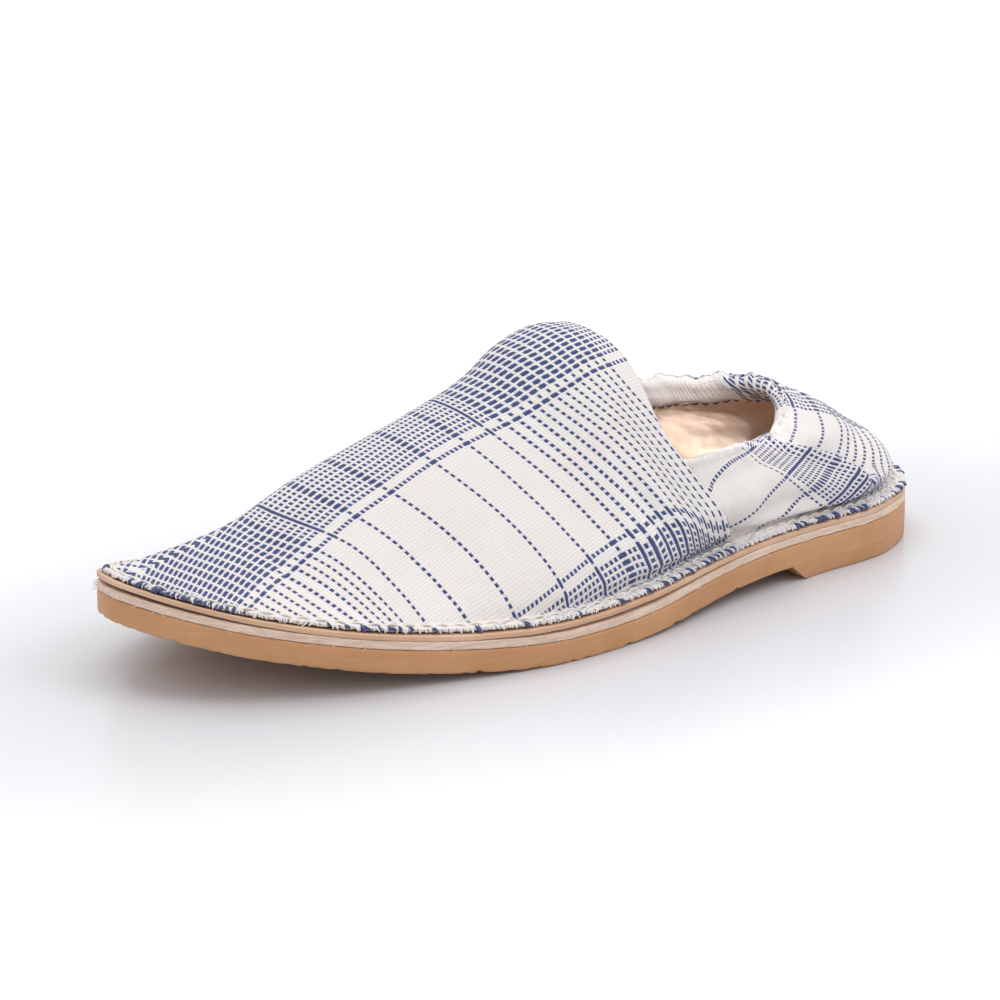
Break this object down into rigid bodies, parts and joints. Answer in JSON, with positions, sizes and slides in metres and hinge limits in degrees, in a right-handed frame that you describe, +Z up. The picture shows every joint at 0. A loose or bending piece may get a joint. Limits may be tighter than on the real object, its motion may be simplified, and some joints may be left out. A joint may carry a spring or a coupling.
{
  "type": "canvas slip-on espadrille",
  "caption": "Left slip-on canvas shoe with a round toe, deep vamp and soft low heel collar, its raw cloth edge turned out flat on a leather insole, over a leather midsole and gum rubber sole.",
  "frame": {"origin": "on the floor, under the middle of the sole's box", "axes": "+Y from toe to heel, +X towards the outer side of the foot, +Z up"},
  "size_m": [0.1009, 0.2746, 0.0769],
  "materials": {
    "gum_rubber": "smooth honey-coloured gum with a rough trimmed lower edge",
    "lift_rubber": "matt honey-coloured gum",
    "midsole_leather": "undyed vegetable-tanned leather with a fibrous cut edge",
    "insole_leather": "undyed leather, grain side up",
    "check_canvas": "coarse plain-weave cotton, off-white with indigo check threads"
  },
  "bodies": {
    "root": {"outsole": "gum_rubber", "heel_lift": "lift_rubber", "midsole": "midsole_leather", "insole": "insole_leather", "upper": "check_canvas"}
  },
  "joints": []
}
